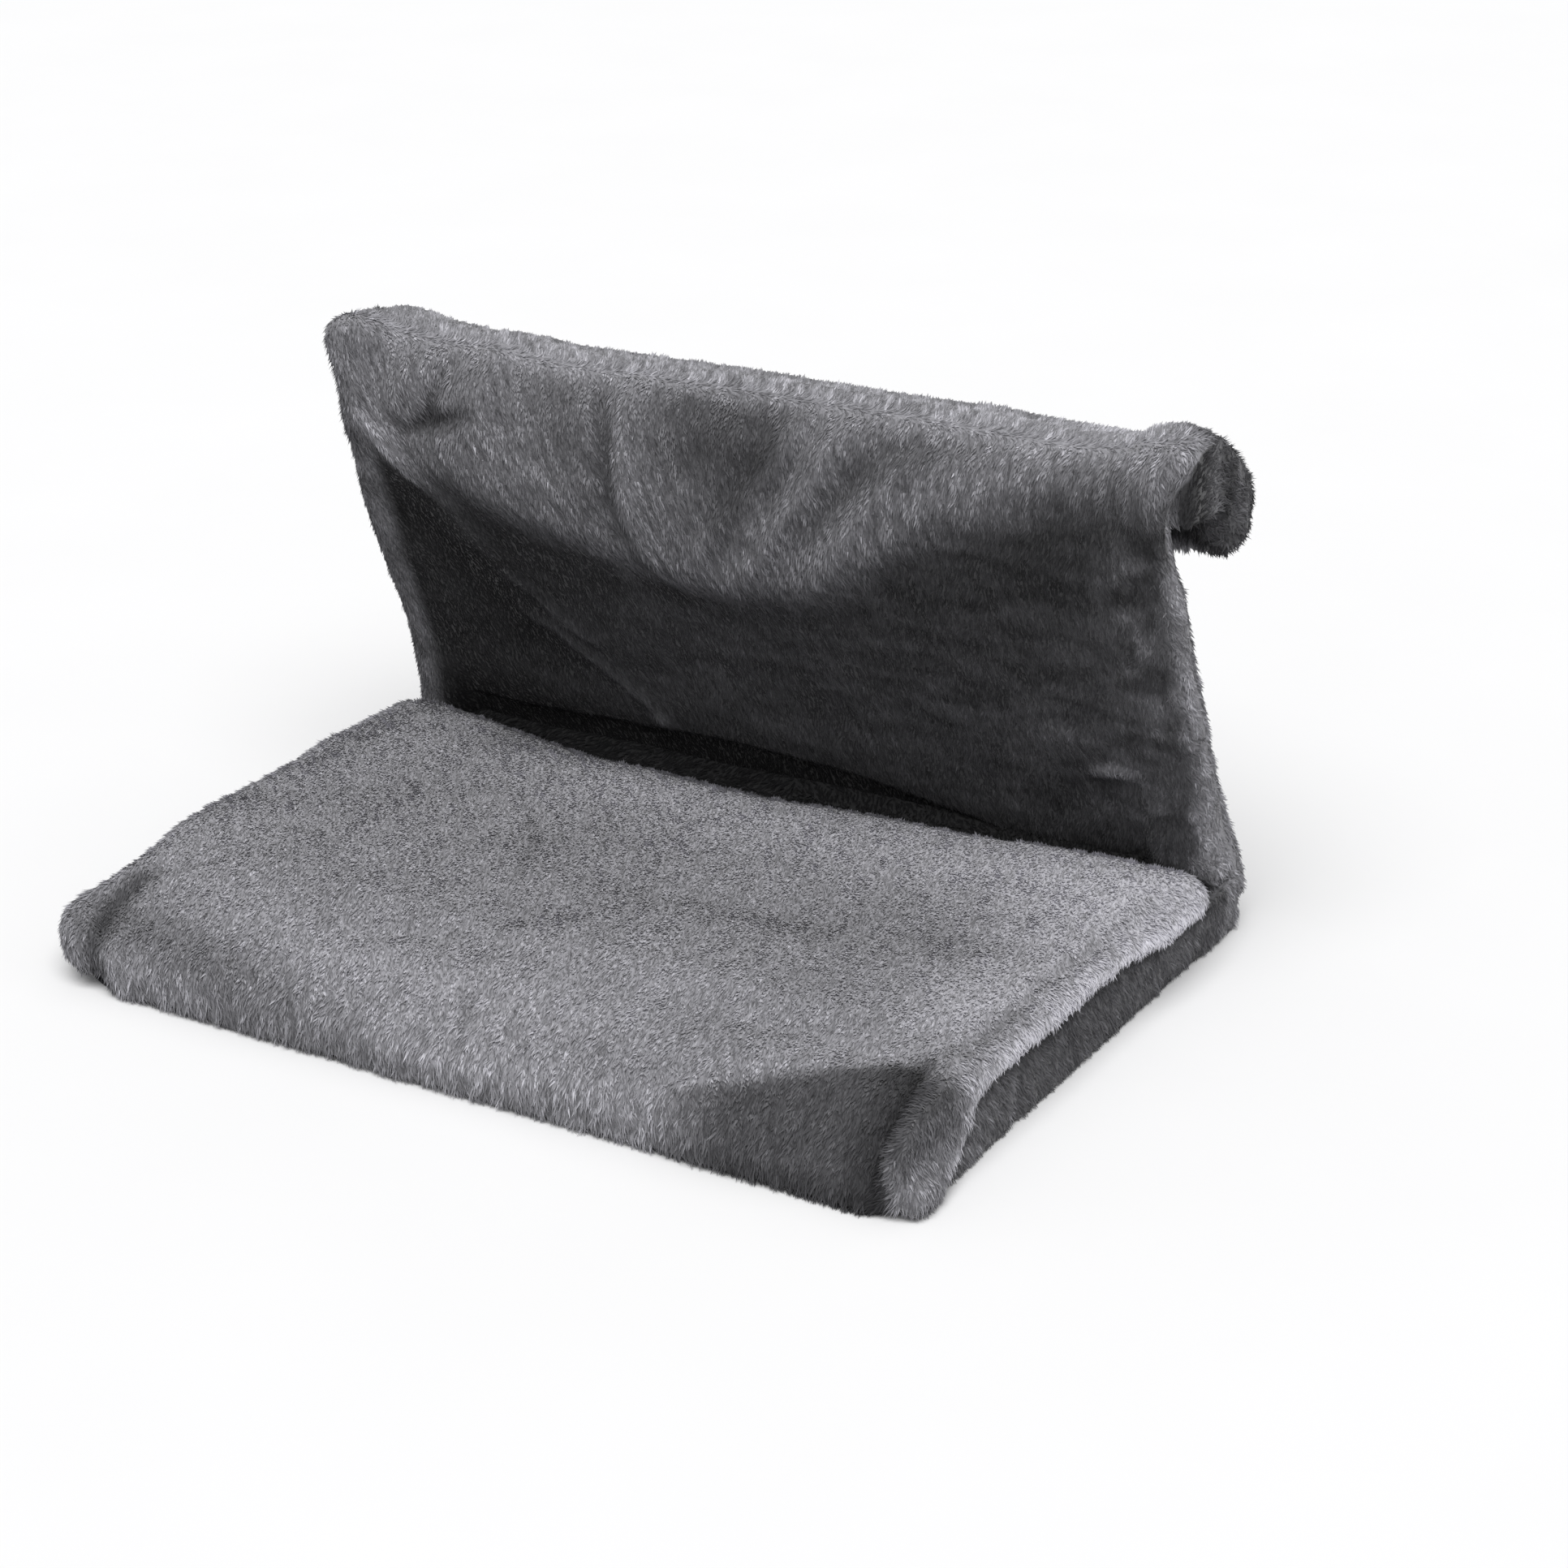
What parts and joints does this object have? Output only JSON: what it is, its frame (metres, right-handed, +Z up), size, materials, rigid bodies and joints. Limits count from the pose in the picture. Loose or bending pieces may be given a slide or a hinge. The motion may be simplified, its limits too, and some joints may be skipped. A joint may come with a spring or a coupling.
{
  "type": "cat radiator hammock",
  "caption": "Plush-covered cat bed that hangs on a radiator: padded seat on a steel tube frame, folding leaning back whose top hooks over the radiator's edge.",
  "frame": {"origin": "centre of the bounding box's bottom face, on the seat's flat underside", "axes": "+X is the width, a mirror axis and the longest side; +Y points from the open front edge to the radiator; +Z is up"},
  "size_m": [0.46, 0.3224, 0.2547],
  "materials": {
    "plush_grey": "short dense plush with a brushed nap",
    "plush_side": "short dense plush brushed downwards",
    "base_cloth": "plain woven backing cloth",
    "wadding": "bonded polyester wadding",
    "zip_cloth": "woven zip tape",
    "tube_paint": "black powder coat",
    "bracket_nylon": "moulded nylon, fine texture",
    "washer_nylon": "natural nylon",
    "zip_teeth": "moulded coil",
    "zinc": "zinc plated"
  },
  "bodies": {
    "seat": {"seat_bow": "tube_paint", "seat_rear_bar": "tube_paint", "hinge_bracket_left": "bracket_nylon", "hinge_bracket_right": "bracket_nylon", "bracket_screws": "zinc", "pivot_bolts": "zinc", "pivot_washers": "zinc", "friction_washers": "washer_nylon", "pivot_nuts": "zinc", "seat_sling": "base_cloth", "seat_pad": "wadding", "seat_top_panel": "plush_grey", "seat_side_band": "plush_side", "seat_underside": "base_cloth", "rear_skirt": "plush_side", "rear_flap": "plush_side", "valley_flap": "plush_side"},
    "back": {"back_bow": "tube_paint", "back_cross_bar": "tube_paint", "rod_end_left": "bracket_nylon", "rod_end_right": "bracket_nylon", "rod_end_pins": "zinc", "back_wadding": "wadding", "hook_padding": "wadding", "back_front_panel": "plush_grey", "back_rear_panel": "plush_side", "back_side_left": "plush_grey", "back_side_right": "plush_grey", "hook_cover": "plush_grey", "hook_lining": "plush_side", "hook_end_left": "plush_side", "hook_end_right": "plush_side", "zip_tape": "zip_cloth", "zip_chain": "zip_teeth", "zip_stops": "zinc"},
    "zip_slider": {"zip_slider": "zinc"},
    "zip_pull": {"zip_pull": "zinc"}
  },
  "joints": [
    {"name": "back_fold", "type": "hinge", "parent": "seat", "child": "back", "pos_m": [0, 0.14265, 0.05], "axis": [1, 0, 0], "range_deg": [0, 55]},
    {"name": "zip_slide", "type": "slide", "parent": "back", "child": "zip_slider", "axis": [-1, 0, 0], "range_m": [0, 0.36]},
    {"name": "zip_pull_turn", "type": "hinge", "parent": "zip_slider", "child": "zip_pull", "pos_m": [0.18, 0.13166, 0.11243], "axis": [0, 0.3746, -0.9272], "range_deg": [0, 170]}
  ]
}
